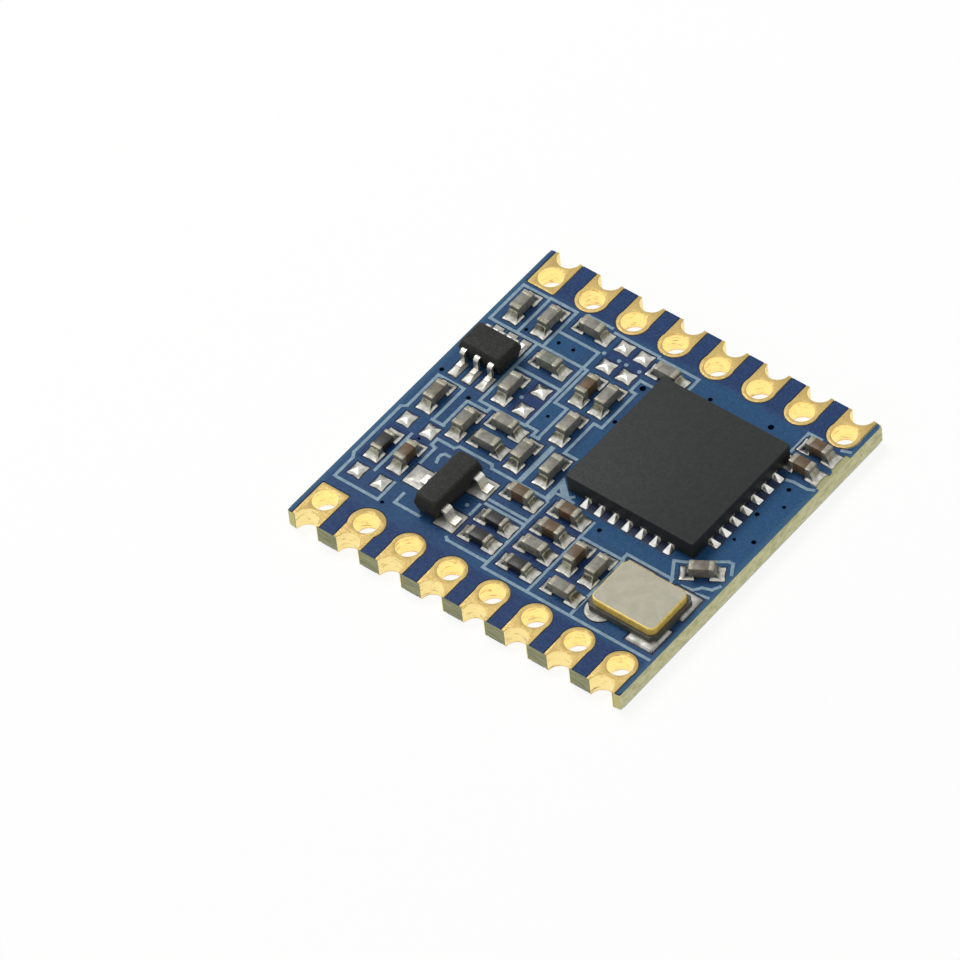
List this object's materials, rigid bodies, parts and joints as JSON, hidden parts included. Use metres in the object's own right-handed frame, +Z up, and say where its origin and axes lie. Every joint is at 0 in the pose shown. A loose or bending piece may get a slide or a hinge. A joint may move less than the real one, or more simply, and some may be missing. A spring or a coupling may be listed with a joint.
{
  "type": "lora module",
  "caption": "Castellated long-range radio module: a square board with plated edge contacts that carries a transceiver, a crystal and small chip parts.",
  "frame": {"origin": "under the middle of the board, on the plane that the lower pads stand on", "axes": "+X along the two rows of contacts from the squared first contacts, +Y towards the back row, +Z up from the lower pads to the parts"},
  "size_m": [0.016, 0.016, 0.0019],
  "materials": {
    "moulding": "matte",
    "lead_tin": "satin",
    "capacitor_ceramic": "satin",
    "inductor_ceramic": "satin",
    "resistor_film": "gloss",
    "contact_gold": "polished",
    "crystal_base": "matte",
    "crystal_lid": "satin",
    "crystal_ring": "satin",
    "laminate": "satin",
    "legend_ink": "matte",
    "solder_tin": "bright",
    "solder_mask": "gloss"
  },
  "bodies": {
    "root": {"antenna_switch_body": "moulding", "antenna_switch_leads": "lead_tin", "chip_capacitor_01": "capacitor_ceramic", "chip_capacitor_02": "capacitor_ceramic", "chip_capacitor_03": "capacitor_ceramic", "chip_capacitor_04": "capacitor_ceramic", "chip_capacitor_05": "capacitor_ceramic", "chip_capacitor_06": "capacitor_ceramic", "chip_capacitor_07": "capacitor_ceramic", "chip_capacitor_08": "capacitor_ceramic", "chip_capacitor_09": "capacitor_ceramic", "chip_capacitor_10": "capacitor_ceramic", "chip_capacitor_11": "capacitor_ceramic", "chip_capacitor_12": "capacitor_ceramic", "chip_capacitor_13": "capacitor_ceramic", "chip_capacitor_14": "capacitor_ceramic", "chip_capacitor_15": "capacitor_ceramic", "chip_capacitor_16": "capacitor_ceramic", "chip_capacitor_17": "capacitor_ceramic", "chip_capacitor_18": "capacitor_ceramic", "chip_capacitor_19": "capacitor_ceramic", "chip_capacitor_20": "capacitor_ceramic", "chip_capacitor_21": "capacitor_ceramic", "chip_inductor_01": "inductor_ceramic", "chip_inductor_02": "inductor_ceramic", "chip_inductor_03": "inductor_ceramic", "chip_inductor_04": "inductor_ceramic", "chip_inductor_05": "inductor_ceramic", "chip_resistor_01": "resistor_film", "chip_resistor_02": "resistor_film", "chip_resistor_03": "resistor_film", "chip_resistor_04": "resistor_film", "contact_back_1": "contact_gold", "contact_back_2": "contact_gold", "contact_back_3": "contact_gold", "contact_back_4": "contact_gold", "contact_back_5": "contact_gold", "contact_back_6": "contact_gold", "contact_back_7": "contact_gold", "contact_back_8": "contact_gold", "contact_front_1": "contact_gold", "contact_front_2": "contact_gold", "contact_front_3": "contact_gold", "contact_front_4": "contact_gold", "contact_front_5": "contact_gold", "contact_front_6": "contact_gold", "contact_front_7": "contact_gold", "contact_front_8": "contact_gold", "crystal_base": "crystal_base", "crystal_lid": "crystal_lid", "crystal_ring": "crystal_ring", "laminate": "laminate", "legend_print": "legend_ink", "regulator_body": "moulding", "regulator_leads": "lead_tin", "solder_joints": "solder_tin", "solder_mask_bottom": "solder_mask", "solder_mask_top": "solder_mask", "transceiver_body": "moulding", "transceiver_terminals": "lead_tin"}
  },
  "joints": []
}
